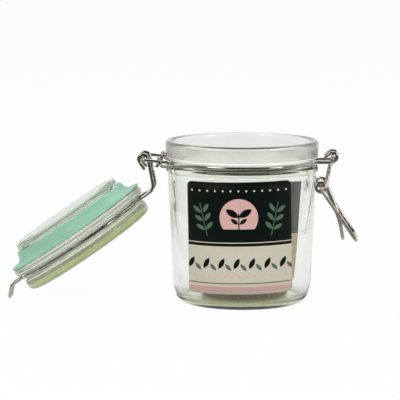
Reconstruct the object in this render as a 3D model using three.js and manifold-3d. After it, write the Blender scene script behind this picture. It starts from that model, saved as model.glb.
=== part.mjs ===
// Jar grow kit: a wire-bail glass jar with its lid swung open, holding a coir disc and a seed sachet.
// Millimetres, +Z up. The origin is the centre of the base, on the surface that the jar stands on.
// +X points to the latch, -X to the hinge, and the front label faces -Y.

import * as THREE from 'three';
import { mergeVertices } from 'three/addons/utils/BufferGeometryUtils.js';
import Module from 'manifold-3d';

// Jar
const jarHeight = 93.5;
const rimRadius = 44;
const rimWall = 3.6;
const collarHeight = 9.6;
const lipRound = 2.4;
const grooveDepth = 2;
const grooveWidth = 4.6;
const beadDepth = 1.15;
const beadHeight = 4;
const shoulderInset = 1.15;
const wallTaper = 3;
const heelHeight = 11.4;
const heelInset = 6.85;
const heelFootReach = 0.5;
const heelFootRise = 0.03;
const heelWallReach = 0.84;
const heelWallRise = 0.38;
const footWidth = 6;
const pushUp = 0.8;
const pushUpSlope = 3;
const wallThickness = 3.4;
const floorThickness = 2.4;
const floorInset = 2;

// Lid
const flangeLedge = 9.5;
const plugDepth = 12;
const plugWall = 3.9;
const dishDepth = 10.2;
const flangeThickness = 4.6;
const flangeRound = 1.15;
const lidGrooveDepth = 4.4;
const lidGrooveWidth = 3.7;
const crownInset = 2.2;
const lidHeight = 15.8;
const crownRound = 4.4;

// Rubber ring between the lid and the rim
const gasketLip = 0.85;
const gasketDepth = 7.2;
const gasketWall = 1.2;
const gasketFlare = 4.8;
const gasketRoll = 6;

// Wire
const wireDiameter = 1.9;
const bendRadius = 2.6;
const wrapRadius = 2.75;
const wrapPitch = 2.3;
const bendShare = 0.49;

// Hinge side
const hingeReach = 12.5;
const hingeRise = 1.6;
const stirrupHalfWidth = 15.6;
const stirrupBend = 1.6;
const eyeReach = 3;
const eyeRadius = 2.45;
const stirrupTail = 9;
const hingeArmHalfWidth = 7.5;
const hingeArmReach = 7.5;
const hingeArmBend = 4.5;
const hingeTail = 5.5;

// Nose that the bail catches
const noseHalfWidth = 4;
const noseReach = 5.6;
const noseTipReach = 10.8;
const noseTipRise = 5.2;

// Latch side
const tongueReach = 7.9;
const tongueRise = 3.25;
const tongueHalfWidth = 9;
const hookHalfWidth = 6.5;
const hookStart = -0.8;
const hookEnd = 2.35;
const hookTail = 3.4;
const stemInset = 1;
const stemDrop = 3.6;
const eyeInset = 6.4;
const eyeDrop = 16.6;
const eyeHalfWidth = 13.9;
const handleSplay = 0.4;
const handleLength = 21;
const handleNeckHalfWidth = 9.4;
const gripSplay = 0.166;
const gripLength = 12.5;
const gripHalfWidth = 8;
const gripBend = 6;
const bailSplay = 0.593;
const bailHalfWidth = 16.9;
const bailTipHalfWidth = 12.8;
const bailBend = 4;
const bailPinLength = 7.6;

// Label
const labelHeight = 63.8;
const labelBottom = 10.1;
const labelHalfWidth = 29.2;
const labelCorner = 2.5;
const labelThickness = 0.25;
const labelTilt = 0.016;

// Contents
const puckMargin = 10.95;
const puckHeight = 7;
const puckRound = 2.2;
const puckShift = 1.5;
const sachetMargin = 4.05;
const sachetHeight = 56.5;
const sachetThickness = 7;
const sachetEdge = 0.8;
const sachetFlare = 3.55;
const sachetPinks = 20;
const pinkDepth = 1.1;
const sachetRoll = 0.03;
const sachetLean = 0.21;
const sachetSetback = 8;
const sachetShift = 0.5;

// Clearances
const gap = 0.3;
const labelGap = 0.2;
const seatGap = 1.6;

// Facets
const turnSegments = 54;
const curveSegments = 3;
const wireSides = 8;
const ringStep = Math.PI / 30;
const wrapStep = Math.PI / 8;

// Sizes and places that follow
const wireRadius = wireDiameter / 2;
const mouthRadius = rimRadius - rimWall;
const grooveRadius = rimRadius - grooveDepth;
const shoulderRadius = rimRadius - shoulderInset;
const beadRadius = shoulderRadius + beadDepth;
const heelRadius = shoulderRadius - wallTaper;
const footRadius = heelRadius - heelInset;
const innerHeel = heelRadius - wallThickness;
const floorRadius = footRadius - floorInset;
const flangeRadius = rimRadius;
const plugRadius = flangeRadius - flangeLedge;
const lidGrooveRadius = flangeRadius - lidGrooveDepth;
const crownRadius = flangeRadius - crownInset;
const puckRadius = innerHeel - puckMargin;
const sachetHalfLength = innerHeel - sachetMargin;
const grooveZ = jarHeight - collarHeight - grooveWidth / 2;
const beadTopZ = grooveZ - grooveWidth / 2;
const shoulderZ = beadTopZ - beadHeight;
const neckRingRadius = grooveRadius + gap + wireRadius;
const lidGrooveZ = flangeThickness + lidGrooveWidth / 2;
const lidRingRadius = lidGrooveRadius + gap + wireRadius;
const lidSeatZ = jarHeight + seatGap;
const floorZ = pushUp + floorThickness;
const hinge = new THREE.Vector3(-rimRadius - hingeReach, 0, grooveZ + hingeRise);
const tongue = new THREE.Vector3(rimRadius + tongueReach, 0, grooveZ + tongueRise);
const wrapSlack = wrapRadius - 2 * wireRadius - gap;
const noseTipX = flangeRadius + noseTipReach;
const noseTipZ = lidGrooveZ + noseTipRise;
const leverEye = new THREE.Vector3(-eyeInset, 0, -wrapSlack - eyeDrop);
const bailPin = leverEye.clone().add(new THREE.Vector3(0, 0, -wrapSlack));
const bailLength = lidSeatZ + lidGrooveZ + wireDiameter + gap - tongue.z - bailPin.z;

/** Turn that swings the closed lid open until its nose rests on the surface below the jar. */
function openTurn() {
  const reach = noseTipX - hinge.x;
  const rise = lidSeatZ + noseTipZ - hinge.z;
  const drop = hinge.z - wireRadius;
  return Math.PI + Math.asin(drop / Math.hypot(reach, rise)) - Math.atan2(rise, reach);
}

const lidTurn = openTurn();

const glass = { color: 0xdfe6df, roughness: 0.05, metalness: 0, transparent: true, opacity: 0.45 };
const steel = { color: 0xb9bab6, roughness: 0.25, metalness: 1 };
const rubber = { color: 0x9cc7ae, roughness: 0.6, metalness: 0 };
const print = { color: 0x1c2a22, roughness: 0.5, metalness: 0 };
const coir = { color: 0x6f5f45, roughness: 0.95, metalness: 0 };
const paper = { color: 0xafa283, roughness: 0.85, metalness: 0 };

/** A named mesh with a material of its own. */
function piece(name, geometry, finish) {
  const mesh = new THREE.Mesh(geometry, new THREE.MeshStandardMaterial(finish));
  mesh.name = name;
  return mesh;
}

/** Turns a profile of (radius, height) about the Z axis. */
function revolve(path) {
  const turned = new THREE.LatheGeometry(path.getPoints(curveSegments), turnSegments);
  return turned.rotateX(Math.PI / 2);
}

/** A bent wire's centre line, sampled at its own points. */
class WireLine extends THREE.Curve {
  constructor(points) {
    super();
    this.points = points;
  }

  getPoint(t, target = new THREE.Vector3()) {
    const place = t * (this.points.length - 1);
    const before = Math.min(Math.floor(place), this.points.length - 2);
    return target.lerpVectors(this.points[before], this.points[before + 1], place - before);
  }

  getTangent(t, target = new THREE.Vector3()) {
    const last = this.points.length - 1;
    const here = Math.round(t * last);
    const into = Math.min(Math.max(here, 1), last);
    const outOf = Math.min(here, last - 1);
    target.subVectors(this.points[into], this.points[into - 1]).normalize();
    const leaving = new THREE.Vector3().subVectors(this.points[outOf + 1], this.points[outOf]);
    return target.add(leaving.normalize()).normalize();
  }

  getTangentAt(u, target) {
    return this.getTangent(u, target);
  }

  getSpacedPoints() {
    return this.points;
  }
}

/** Rounds one corner of a wire between the points before and after it. */
function roundCorner(before, corner, after, radius) {
  const into = new THREE.Vector3().subVectors(corner, before);
  const outOf = new THREE.Vector3().subVectors(after, corner);
  const room = Math.min(into.length(), outOf.length()) * bendShare;
  into.normalize();
  outOf.normalize();
  const turn = into.angleTo(outOf);
  if (turn < wrapStep) {
    return [corner.clone()];
  }
  const trim = Math.min(radius * Math.tan(turn / 2), room);
  const start = corner.clone().addScaledVector(into, -trim);
  const axis = new THREE.Vector3().crossVectors(into, outOf).normalize();
  const inward = new THREE.Vector3().crossVectors(axis, into);
  const centre = start.clone().addScaledVector(inward, trim / Math.tan(turn / 2));
  const steps = Math.ceil(turn / wrapStep);
  return Array.from({ length: steps + 1 }, (_, step) =>
    start.clone().sub(centre).applyAxisAngle(axis, (turn * step) / steps).add(centre));
}

/** Rounds every sharp corner of a wire that is given by its corner points. */
function bend(corners, radius) {
  const inner = corners.slice(1, -1);
  const rounded = inner.flatMap((corner, i) => roundCorner(corners[i], corner, corners[i + 2], radius));
  return [corners[0], ...rounded, corners[corners.length - 1]];
}

/** Points of a turn about an axis along Y, from one angle and Y to another. */
function wrap(centre, from, to, fromY, toY) {
  const steps = Math.ceil(Math.abs(to - from) / wrapStep);
  return Array.from({ length: steps + 1 }, (_, step) => {
    const share = step / steps;
    const angle = from + (to - from) * share;
    return new THREE.Vector3(
      centre.x + wrapRadius * Math.cos(angle),
      fromY + (toY - fromY) * share,
      centre.z + wrapRadius * Math.sin(angle),
    );
  });
}

/** Points of a level arc about the Z axis. */
function ringArc(radius, height, from, to) {
  const steps = Math.ceil(Math.abs(to - from) / ringStep);
  return Array.from({ length: steps + 1 }, (_, step) => {
    const angle = from + ((to - from) * step) / steps;
    return new THREE.Vector3(radius * Math.cos(angle), radius * Math.sin(angle), height);
  });
}

/** Joins half of a wire, which ends at Y = 0, to its mirror image in the XZ plane. */
function mirrored(half) {
  const other = half.map((point) => new THREE.Vector3(point.x, -point.y, point.z));
  return [...half.slice(0, -1), ...other.reverse()];
}

/** The solid of a round wire along its points. */
function drawnWire(points) {
  const corner = (side) => ((side + 0.5) * 2 * Math.PI) / wireSides;
  const outline = Array.from({ length: wireSides }, (_, side) =>
    new THREE.Vector2(wireRadius * Math.cos(corner(side)), wireRadius * Math.sin(corner(side))));
  const settings = { steps: points.length - 1, extrudePath: new WireLine(points) };
  return new THREE.ExtrudeGeometry(new THREE.Shape(outline), settings);
}

/** Angle on a wrap where the straight wire from a point outside it touches it. */
function touchAngle(point, centre, side) {
  const away = new THREE.Vector2(point.x - centre.x, point.z - centre.z);
  return away.angle() + side * Math.acos(wrapRadius / away.length());
}

/** Radius of the jar's tapered wall, outside, at a height. */
function wallRadius(height) {
  return heelRadius + (wallTaper * (height - heelHeight)) / (shoulderZ - heelHeight);
}

/** Handles of the heel's curve between its low and its high end. */
function heelHandles(low, high) {
  const width = high.x - low.x;
  const rise = high.y - low.y;
  return {
    foot: new THREE.Vector2(low.x + width * heelFootReach, low.y + rise * heelFootRise),
    wall: new THREE.Vector2(low.x + width * heelWallReach, low.y + rise * heelWallRise),
  };
}

function jarProfile() {
  const collarZ = jarHeight - collarHeight;
  const path = new THREE.Path();
  path.moveTo(0, pushUp);
  path.lineTo(footRadius - footWidth - pushUpSlope, pushUp);
  path.lineTo(footRadius - footWidth, 0);
  path.lineTo(footRadius, 0);
  const heel = new THREE.Vector2(heelRadius, heelHeight);
  const outside = heelHandles(new THREE.Vector2(footRadius, 0), heel);
  path.bezierCurveTo(outside.foot.x, outside.foot.y, outside.wall.x, outside.wall.y, heel.x, heel.y);
  path.lineTo(shoulderRadius, shoulderZ);
  path.quadraticCurveTo(beadRadius, shoulderZ, beadRadius, shoulderZ + beadHeight / 2);
  const lowerFlank = (beadRadius + grooveRadius) / 2;
  path.quadraticCurveTo(beadRadius, beadTopZ, lowerFlank, beadTopZ);
  path.quadraticCurveTo(grooveRadius, beadTopZ, grooveRadius, grooveZ);
  const upperFlank = (rimRadius + grooveRadius) / 2;
  path.quadraticCurveTo(grooveRadius, collarZ, upperFlank, collarZ);
  path.quadraticCurveTo(rimRadius, collarZ, rimRadius, collarZ + lipRound / 2);
  path.lineTo(rimRadius, jarHeight - lipRound);
  const crownLine = (rimRadius + mouthRadius) / 2;
  path.quadraticCurveTo(rimRadius, jarHeight, crownLine, jarHeight);
  path.quadraticCurveTo(mouthRadius, jarHeight, mouthRadius, jarHeight - lipRound);
  path.lineTo(shoulderRadius - wallThickness, shoulderZ);
  path.lineTo(innerHeel, heelHeight);
  const corner = new THREE.Vector2(floorRadius, floorZ);
  const inside = heelHandles(corner, new THREE.Vector2(innerHeel, heelHeight));
  path.bezierCurveTo(inside.wall.x, inside.wall.y, inside.foot.x, inside.foot.y, corner.x, corner.y);
  path.lineTo(0, floorZ);
  return path;
}

/** Profile of the closed lid, with height 0 at the underside of its flange. */
function lidProfile() {
  const dishZ = dishDepth - plugDepth;
  const dishRadius = plugRadius - plugWall;
  const lipMiddle = plugRadius - plugWall / 2;
  const lipEdge = plugWall / 2;
  const grooveTop = flangeThickness + lidGrooveWidth;
  const path = new THREE.Path();
  path.moveTo(0, dishZ);
  path.lineTo(dishRadius / 2, dishZ);
  path.quadraticCurveTo(dishRadius, dishZ, dishRadius, lipEdge / 2 - plugDepth);
  path.quadraticCurveTo(dishRadius, -plugDepth, lipMiddle, -plugDepth);
  path.quadraticCurveTo(plugRadius, -plugDepth, plugRadius, lipEdge - plugDepth);
  path.lineTo(plugRadius, 0);
  path.lineTo(flangeRadius - flangeRound, 0);
  path.quadraticCurveTo(flangeRadius, 0, flangeRadius, flangeThickness / 2);
  const lowerFlank = (flangeRadius + lidGrooveRadius) / 2;
  path.quadraticCurveTo(flangeRadius, flangeThickness, lowerFlank, flangeThickness);
  path.quadraticCurveTo(lidGrooveRadius, flangeThickness, lidGrooveRadius, lidGrooveZ);
  const upperFlank = (crownRadius + lidGrooveRadius) / 2;
  path.quadraticCurveTo(lidGrooveRadius, grooveTop, upperFlank, grooveTop);
  path.quadraticCurveTo(crownRadius, grooveTop, crownRadius, lidHeight - crownRound);
  path.quadraticCurveTo(crownRadius, lidHeight, crownRadius - crownRound, lidHeight);
  path.lineTo(0, lidHeight);
  return path;
}

/** Closed section of the rubber ring: a flat back, a thin outer lip and a trumpet-shaped front. */
function gasketProfile() {
  const inner = plugRadius + gap;
  const back = -gap;
  const lip = back - gasketLip;
  const tip = back - gasketDepth;
  const path = new THREE.Path();
  path.moveTo(inner, back);
  path.lineTo(inner, tip);
  path.lineTo(inner + gasketWall, tip);
  path.bezierCurveTo(
    inner + gasketWall * 2, tip + gasketFlare,
    flangeRadius - gasketRoll, lip,
    flangeRadius, lip,
  );
  path.lineTo(flangeRadius, back);
  path.lineTo(inner, back);
  return path;
}

/** Height of the stirrup's leg at a given X. */
function legHeight(x) {
  const run = -neckRingRadius - hinge.x;
  return hinge.z - (hingeRise * (x - hinge.x)) / run;
}

/** Wire in the jar's groove: one half runs from its eye at the hinge round to the latch tongue. */
function neckWirePoints() {
  const eyeX = -rimRadius - eyeReach;
  const eyeZ = legHeight(eyeX);
  const inside = stirrupHalfWidth - eyeRadius;
  const outside = stirrupHalfWidth + eyeRadius;
  const start = eyeX - wrapPitch / 2;
  const eye = [
    new THREE.Vector3(start, stirrupHalfWidth, eyeZ - eyeRadius),
    new THREE.Vector3(start + wrapPitch / 4, inside, eyeZ - eyeRadius),
    new THREE.Vector3(start + wrapPitch / 2, inside, eyeZ + eyeRadius),
    new THREE.Vector3(start + (wrapPitch * 3) / 4, outside, eyeZ + eyeRadius),
    new THREE.Vector3(start + wrapPitch, outside, eyeZ - eyeRadius),
  ];
  const last = eye[eye.length - 1];
  const target = new THREE.Vector2(last.x, last.y);
  const leave = target.angle() - Math.acos(neckRingRadius / target.length());
  const reach = Math.asin(tongueHalfWidth / neckRingRadius);
  const ring = ringArc(neckRingRadius, grooveZ, leave, reach);
  const tongueHalf = [
    new THREE.Vector3(tongue.x, tongueHalfWidth, grooveZ),
    new THREE.Vector3(tongue.x, tongueHalfWidth, tongue.z),
    new THREE.Vector3(tongue.x, 0, tongue.z),
  ];
  const eyeBend = bend([...eye, ring[0]], eyeRadius);
  return mirrored([...eyeBend.slice(0, -1), ...bend([...ring, ...tongueHalf], stirrupBend)]);
}

/** Stirrup: its bar is the hinge pin, its legs run through the eyes, its tails lie in the groove. */
function stirrupPoints() {
  const meet = Math.asin(stirrupHalfWidth / neckRingRadius);
  const tailEnd = Math.PI - meet + stirrupTail / neckRingRadius;
  const tail = ringArc(neckRingRadius, grooveZ, tailEnd, Math.PI - meet);
  const half = [
    ...tail,
    new THREE.Vector3(hinge.x, stirrupHalfWidth, hinge.z),
    new THREE.Vector3(hinge.x, 0, hinge.z),
  ];
  return mirrored(bend(half, stirrupBend));
}

/** Wire of the closed lid, placed from the lid's axis at the underside of its flange. */
function lidWirePoints() {
  const hang = -Math.PI / 2 - lidTurn;
  const hook = {
    x: hinge.x + wrapSlack * Math.cos(hang),
    z: hinge.z - lidSeatZ + wrapSlack * Math.sin(hang),
  };
  const armTop = new THREE.Vector3(-flangeRadius - hingeArmReach, hingeArmHalfWidth, lidGrooveZ);
  const touch = touchAngle(armTop, hook, 1);
  const turn = wrap(hook, 2 * Math.PI, touch, hingeArmHalfWidth, hingeArmHalfWidth);
  const tailEnd = new THREE.Vector3(turn[0].x, hingeArmHalfWidth, turn[0].z + hingeTail);
  const armMeet = Math.PI - Math.asin(hingeArmHalfWidth / lidRingRadius);
  const ring = ringArc(lidRingRadius, lidGrooveZ, armMeet, Math.asin(noseHalfWidth / lidRingRadius));
  const arm = bend([turn[turn.length - 1], armTop, ring[0]], hingeArmBend);
  const nose = [
    new THREE.Vector3(flangeRadius + noseReach, noseHalfWidth, lidGrooveZ),
    new THREE.Vector3(noseTipX, noseHalfWidth, noseTipZ),
    new THREE.Vector3(noseTipX, 0, noseTipZ),
  ];
  const round = bend([arm[arm.length - 2], ...ring, ...nose], bendRadius);
  return mirrored([tailEnd, ...turn.slice(0, -1), ...arm.slice(0, -2), ...round]);
}

/** Direction in the XZ plane that leans from straight down towards +X. */
function hanging(lean) {
  return new THREE.Vector3(Math.sin(lean), 0, -Math.cos(lean));
}

/** Lever, placed from the tongue's bar: hooks, arms, eyes and a looped handle. */
function leverPoints() {
  const hook = { x: 0, z: -wrapSlack };
  const turn = wrap(hook, hookEnd, hookStart, hookHalfWidth, hookHalfWidth);
  const tailEnd = turn[0].clone();
  tailEnd.x -= hookTail * Math.sin(hookEnd);
  tailEnd.z += hookTail * Math.cos(hookEnd);
  const stemTop = new THREE.Vector3(-stemInset, hookHalfWidth, hook.z - stemDrop);
  const touch = touchAngle(stemTop, leverEye, -1);
  const eye = wrap(leverEye, touch, handleSplay - 2 * Math.PI, eyeHalfWidth, eyeHalfWidth - wrapPitch);
  const arm = bend([turn[turn.length - 1], stemTop, eye[0]], stirrupBend);
  const neck = eye[eye.length - 1].clone().addScaledVector(hanging(handleSplay), handleLength);
  neck.y = handleNeckHalfWidth;
  const grip = neck.clone().addScaledVector(hanging(gripSplay), gripLength);
  grip.y = gripHalfWidth;
  const gripMiddle = new THREE.Vector3(grip.x, 0, grip.z);
  const handle = bend([eye[eye.length - 1], neck, grip, gripMiddle], gripBend);
  return mirrored([tailEnd, ...turn, ...arm.slice(1, -1), ...eye, ...handle.slice(1)]);
}

/** Bail, placed from the axis of its own pins, which rest in the lever's eyes. */
function bailPoints() {
  const tip = hanging(bailSplay).multiplyScalar(bailLength);
  const half = [
    new THREE.Vector3(0, bailHalfWidth - bailPinLength, 0),
    new THREE.Vector3(0, bailHalfWidth, 0),
    new THREE.Vector3(tip.x, bailTipHalfWidth, tip.z),
    new THREE.Vector3(tip.x, 0, tip.z),
  ];
  const pin = bend(half.slice(0, 3), stirrupBend);
  const loop = bend(half.slice(1), bailBend);
  return mirrored([...pin.slice(0, -1), ...loop.slice(1)]);
}

const wasm = await Module();
wasm.setup();

/** A closed geometry as a solid that can be cut. */
function solid(geometry) {
  const bare = geometry.clone();
  bare.deleteAttribute('normal');
  bare.deleteAttribute('uv');
  const merged = mergeVertices(bare, 1e-4);
  const vertProperties = new Float32Array(merged.attributes.position.array);
  const triVerts = new Uint32Array(merged.index.array);
  return new wasm.Manifold(new wasm.Mesh({ numProp: 3, vertProperties, triVerts }));
}

/** A cut solid as a geometry. */
function surface(cut) {
  const mesh = cut.getMesh();
  const geometry = new THREE.BufferGeometry();
  geometry.setAttribute('position', new THREE.BufferAttribute(mesh.vertProperties, 3));
  geometry.setIndex(new THREE.BufferAttribute(mesh.triVerts, 1));
  return geometry;
}

/** A rectangle with round corners, centred on the Y axis of its shape. */
function roundedRectangle(halfWidth, bottom, height, corner) {
  const shape = new THREE.Shape();
  const top = bottom + height;
  shape.moveTo(-halfWidth + corner, bottom);
  shape.lineTo(halfWidth - corner, bottom);
  shape.quadraticCurveTo(halfWidth, bottom, halfWidth, bottom + corner);
  shape.lineTo(halfWidth, top - corner);
  shape.quadraticCurveTo(halfWidth, top, halfWidth - corner, top);
  shape.lineTo(-halfWidth + corner, top);
  shape.quadraticCurveTo(-halfWidth, top, -halfWidth, top - corner);
  shape.lineTo(-halfWidth, bottom + corner);
  shape.quadraticCurveTo(-halfWidth, bottom, -halfWidth + corner, bottom);
  return shape;
}

/** Film label: a thin skin over the tapered wall, cut to a slightly tilted rectangle seen from the front. */
function labelGeometry() {
  const skin = new THREE.Path();
  const lowZ = labelBottom - labelCorner;
  const lowEdge = wallRadius(lowZ) + labelGap;
  const shoulderEdge = shoulderRadius + labelGap;
  skin.moveTo(lowEdge, lowZ);
  skin.lineTo(lowEdge + labelThickness, lowZ);
  skin.lineTo(shoulderEdge + labelThickness, shoulderZ);
  skin.lineTo(shoulderEdge, shoulderZ);
  skin.lineTo(lowEdge, lowZ);
  const outline = roundedRectangle(labelHalfWidth, -labelHeight / 2, labelHeight, labelCorner);
  const depth = shoulderRadius * 2;
  const prism = new THREE.ExtrudeGeometry(outline, { depth, curveSegments, bevelEnabled: false });
  prism.rotateX(Math.PI / 2).rotateY(-labelTilt).translate(0, 0, labelBottom + labelHeight / 2);
  return surface(solid(revolve(skin)).intersect(solid(prism)));
}

/** Side view of a filled sachet: a lens that ends in thin sealed edges. */
function sachetSection(length) {
  const end = length / 2;
  const edge = sachetEdge / 2;
  const crown = sachetThickness - edge;
  const shape = new THREE.Shape();
  shape.moveTo(-end, -edge);
  shape.quadraticCurveTo(0, -crown, end, -edge);
  shape.lineTo(end, edge);
  shape.quadraticCurveTo(0, crown, -end, edge);
  shape.lineTo(-end, -edge);
  return shape;
}

/** Front view of the sachet: pinked at its left end, plain and flaring upwards at its right end. */
function sachetOutline() {
  const side = sachetHeight / 2;
  const pitch = sachetHeight / sachetPinks;
  const pinked = Array.from({ length: sachetPinks * 2 + 1 }, (_, step) => {
    const inset = step % 2 === 0 ? 0 : pinkDepth;
    return new THREE.Vector2(inset - sachetHalfLength, side - (step * pitch) / 2);
  });
  const plain = [
    new THREE.Vector2(sachetHalfLength - sachetFlare, -side),
    new THREE.Vector2(sachetHalfLength + sachetFlare, side),
  ];
  return new THREE.Shape([...pinked, ...plain]);
}

/** Seed sachet: lenses in both directions, trimmed to its outline, stood on the coir disc and leant back. */
function sachetGeometry() {
  const length = 2 * (sachetHalfLength + sachetFlare);
  const crosswise = { depth: sachetHeight * 2, curveSegments: curveSegments * 3, bevelEnabled: false };
  const lengthwise = { depth: length * 2, curveSegments: curveSegments * 3, bevelEnabled: false };
  const upright = { depth: sachetThickness * 2, bevelEnabled: false };
  const long = new THREE.ExtrudeGeometry(sachetSection(length), crosswise);
  long.translate(0, 0, -sachetHeight).rotateX(Math.PI / 2);
  const tall = new THREE.ExtrudeGeometry(sachetSection(sachetHeight), lengthwise);
  tall.translate(0, 0, -length).rotateX(Math.PI / 2).rotateZ(Math.PI / 2);
  const plan = new THREE.ExtrudeGeometry(sachetOutline(), upright);
  plan.translate(0, 0, -sachetThickness);
  const pillow = surface(solid(long).intersect(solid(tall)).intersect(solid(plan)));
  pillow.rotateZ(sachetRoll).rotateX(Math.PI / 2 - sachetLean).computeBoundingBox();
  const puckTop = floorZ + gap + puckHeight;
  return pillow.translate(sachetShift, sachetSetback, puckTop + gap - pillow.boundingBox.min.z);
}

function puckProfile() {
  const bottom = floorZ + gap;
  const top = bottom + puckHeight;
  const path = new THREE.Path();
  path.moveTo(0, bottom);
  path.lineTo(puckRadius - puckRound, bottom);
  path.quadraticCurveTo(puckRadius, bottom, puckRadius, bottom + puckRound);
  path.lineTo(puckRadius, top - puckRound);
  path.quadraticCurveTo(puckRadius, top, puckRadius - puckRound, top);
  path.lineTo(0, top);
  return path;
}

const kit = new THREE.Group();

kit.add(piece('jar_body', revolve(jarProfile()), glass));
kit.add(piece('neck_wire', drawnWire(neckWirePoints()), steel));
kit.add(piece('hinge_stirrup', drawnWire(stirrupPoints()), steel));
kit.add(piece('front_label', labelGeometry(), print));
const puck = piece('coir_puck', revolve(puckProfile()), coir);
puck.position.x = puckShift;
kit.add(puck);
kit.add(piece('seed_sachet', sachetGeometry(), paper));

const lidSwing = new THREE.Group();
lidSwing.position.copy(hinge);
lidSwing.rotation.y = -lidTurn;
const lid = new THREE.Group();
lid.position.set(-hinge.x, 0, lidSeatZ - hinge.z);
lid.add(piece('lid_glass', revolve(lidProfile()), glass));
lid.add(piece('gasket', revolve(gasketProfile()), rubber));
lid.add(piece('lid_wire', drawnWire(lidWirePoints()), steel));
lidSwing.add(lid);
kit.add(lidSwing);

const lever = new THREE.Group();
lever.position.copy(tongue);
lever.add(piece('clasp_lever', drawnWire(leverPoints()), steel));
const bail = new THREE.Group();
bail.position.copy(bailPin);
bail.add(piece('clasp_bail', drawnWire(bailPoints()), steel));
lever.add(bail);
kit.add(lever);

export default kit;
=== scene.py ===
"""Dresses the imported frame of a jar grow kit: glass, steel wire, rubber, printed film, coir and paper."""

import logging
import math
import random
from collections.abc import Callable, Mapping, Sequence
from dataclasses import dataclass, field, replace
from enum import Enum

import bmesh
import bpy
from bmesh.types import BMesh
from bpy.types import ID, Material, Node, NodeSocket, Object, World
from mathutils import Matrix, Vector, noise

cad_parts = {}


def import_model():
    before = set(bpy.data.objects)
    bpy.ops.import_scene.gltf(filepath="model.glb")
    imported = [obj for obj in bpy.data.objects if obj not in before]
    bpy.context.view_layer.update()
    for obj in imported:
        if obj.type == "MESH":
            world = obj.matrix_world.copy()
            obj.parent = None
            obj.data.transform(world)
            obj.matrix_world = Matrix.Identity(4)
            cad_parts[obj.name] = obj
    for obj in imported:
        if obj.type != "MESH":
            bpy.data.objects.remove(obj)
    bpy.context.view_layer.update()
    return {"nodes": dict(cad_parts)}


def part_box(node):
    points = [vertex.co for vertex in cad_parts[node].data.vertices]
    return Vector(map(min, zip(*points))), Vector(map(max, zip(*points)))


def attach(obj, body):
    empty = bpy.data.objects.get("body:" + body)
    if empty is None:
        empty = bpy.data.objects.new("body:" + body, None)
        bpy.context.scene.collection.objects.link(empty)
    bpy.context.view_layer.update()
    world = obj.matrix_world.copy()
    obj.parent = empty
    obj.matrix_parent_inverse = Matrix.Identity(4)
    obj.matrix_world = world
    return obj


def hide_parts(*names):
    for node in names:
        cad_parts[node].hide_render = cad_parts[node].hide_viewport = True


LOG = logging.getLogger("jar_grow_kit")
MM = 0.001
WELD = 1e-7
SPECK = 1e-8
CURVE_STEPS = 10
PRINT_SPAN = 70.0

Point = tuple[float, float]
Triple = tuple[float, float, float]
Value = NodeSocket | float


class Body(Enum):
    """The rigid bodies of the frame that a piece can ride on."""

    JAR = "jar"
    LID = "lid"
    LEVER = "lever"
    BAIL = "bail"


@dataclass(frozen=True)
class Tint:
    """A screen colour, each channel from 0 to 255."""

    red: float
    green: float
    blue: float

    def linear(self) -> tuple[float, float, float, float]:
        """Returns the colour as Blender's linear RGBA, by the sRGB curve."""
        channels = (channel / 255 for channel in (self.red, self.green, self.blue))
        return (*(c / 12.92 if c <= 0.04045 else ((c + 0.055) / 1.055) ** 2.4 for c in channels), 1.0)


@dataclass(frozen=True)
class Grain:
    """A noise pattern: waves per metre, octaves, the noise that gives 0 and 1, and factors on the axes."""

    scale: float
    detail: float
    low: float = 0.0
    high: float = 1.0
    stretch: Triple = (1.0, 1.0, 1.0)


class Board:
    """Lays out the nodes of a material or of the world."""

    def __init__(self, owner: Material | World) -> None:
        """Starts with no nodes.

        Args:
            owner: The material or world, whose nodes are cleared.
        """
        owner.use_nodes = True
        self.tree = owner.node_tree
        self.tree.nodes.clear()

    def node(self, kind: str, **settings: object) -> Node:
        """Adds a node.

        Args:
            kind: The node's type, without Blender's prefix.
            settings: Properties to set on it.

        Returns:
            The new node.
        """
        made = self.tree.nodes.new("ShaderNode" + kind)
        for name, value in settings.items():
            setattr(made, name, value)
        return made

    def join(self, source: Value, target: NodeSocket) -> None:
        """Links a socket to an input, or sets the input to a plain value.

        Args:
            source: The socket or the value.
            target: The input.
        """
        if isinstance(source, NodeSocket):
            self.tree.links.new(source, target)
        elif isinstance(source, float) and target.type == "RGBA":
            target.default_value = (source, source, source, 1.0)
        else:
            target.default_value = source

    def feed(self, made: Node, *values: Value) -> Node:
        """Gives a node its inputs.

        Args:
            made: The node.
            values: Sockets or values, in the inputs' order.

        Returns:
            The node.
        """
        for value, target in zip(values, made.inputs):
            self.join(value, target)
        return made

    def math(self, operation: str, *values: Value, clamp: bool = False) -> NodeSocket:
        """Returns the result's socket of a Math node, kept from 0 to 1 if it's clamped."""
        made = self.node("Math", operation=operation, use_clamp=clamp)
        return self.feed(made, *values).outputs["Value"]

    def axes(self, vector: NodeSocket) -> Mapping[str, NodeSocket]:
        """Returns the sockets of a vector's X, Y and Z."""
        return self.feed(self.node("SeparateXYZ"), vector).outputs

    def spread(self, source: Value, low: float, high: float, *ends: float) -> NodeSocket:
        """Returns the socket of a value that is mapped from low and high to two ends, or to 0 and 1."""
        return self.feed(self.node("MapRange"), source, low, high, *ends).outputs["Result"]

    def by_ray(self, plain: Value, glossy: Value, clear: Value, camera: Value) -> NodeSocket:
        """Chooses a value by what a ray comes from.

        Args:
            plain: The value for rays from matt surfaces.
            glossy: The value for reflected rays.
            clear: The value for rays that come out of glass.
            camera: The value for rays from the camera.

        Returns:
            The chosen value's socket.
        """
        path = self.node("LightPath").outputs
        chosen = plain
        rows = (("Is Glossy Ray", glossy), ("Is Transmission Ray", clear), ("Is Camera Ray", camera))
        for name, value in rows:
            choice = self.node("Mix")
            for source, target in ((path[name], "Factor"), (chosen, "A"), (value, "B")):
                self.join(source, choice.inputs[target])
            chosen = choice.outputs["Result"]
        return chosen


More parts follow.
